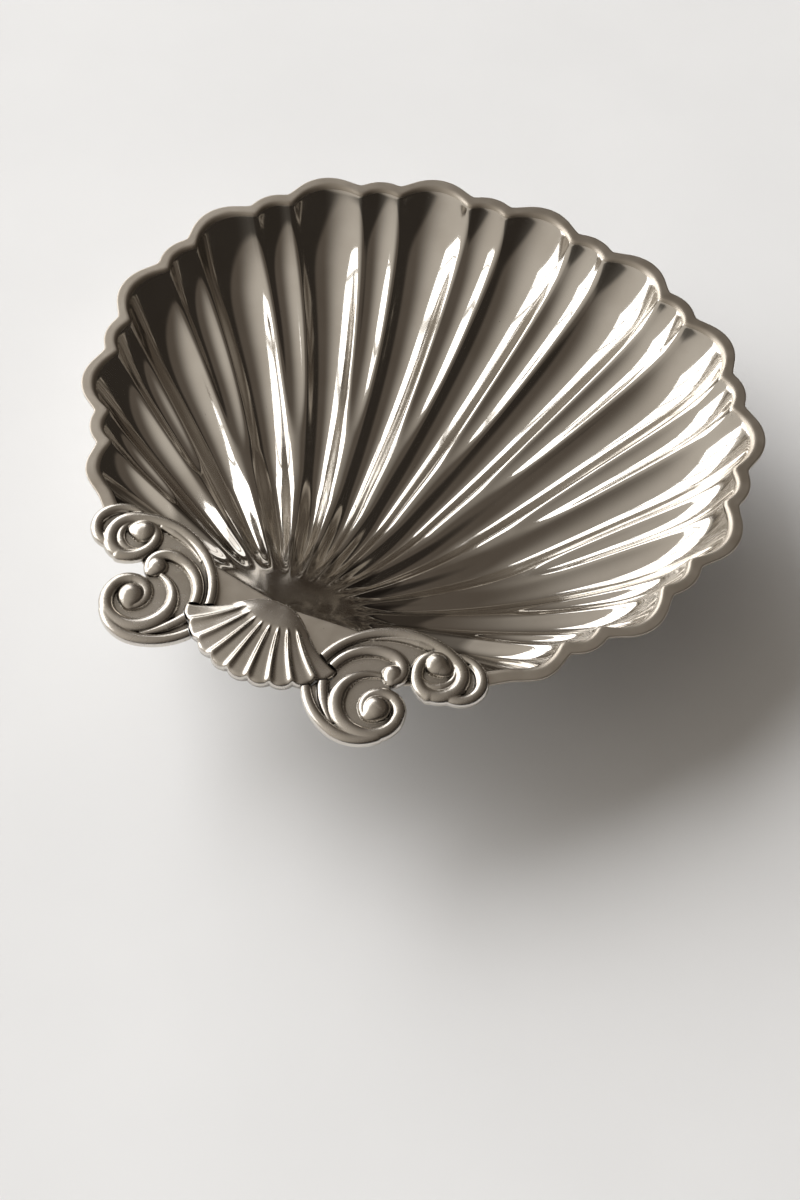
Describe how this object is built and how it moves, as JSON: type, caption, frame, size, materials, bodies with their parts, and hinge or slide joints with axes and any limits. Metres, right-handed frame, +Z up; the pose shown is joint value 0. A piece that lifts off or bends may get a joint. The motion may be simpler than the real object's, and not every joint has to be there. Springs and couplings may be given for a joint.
{
  "type": "shell dish",
  "caption": "Silver-plated scallop shell serving dish: a fluted shallow bowl with a scalloped flat rim, a scroll-and-shell handle plate and ball feet.",
  "frame": {"origin": "centre of the bounding box at the table, under the bowl", "axes": "+Z up out of the bowl, +Y from the handle plate to the middle of the fan, +X to the right seen from the handle"},
  "size_m": [0.228, 0.2274, 0.0502],
  "materials": {
    "polished_silver": "mirror-polished silver plate on pressed sheet",
    "cast_silver": "polished silver plate on castings, slightly softer than the bowl",
    "foot_silver": "polished silver plate on cast balls"
  },
  "bodies": {
    "root": {"dish_body": "polished_silver", "shell_cartouche": "cast_silver", "right_scroll": "cast_silver", "left_scroll": "cast_silver", "fan_foot": "foot_silver", "right_foot": "foot_silver", "left_foot": "foot_silver"}
  },
  "joints": []
}
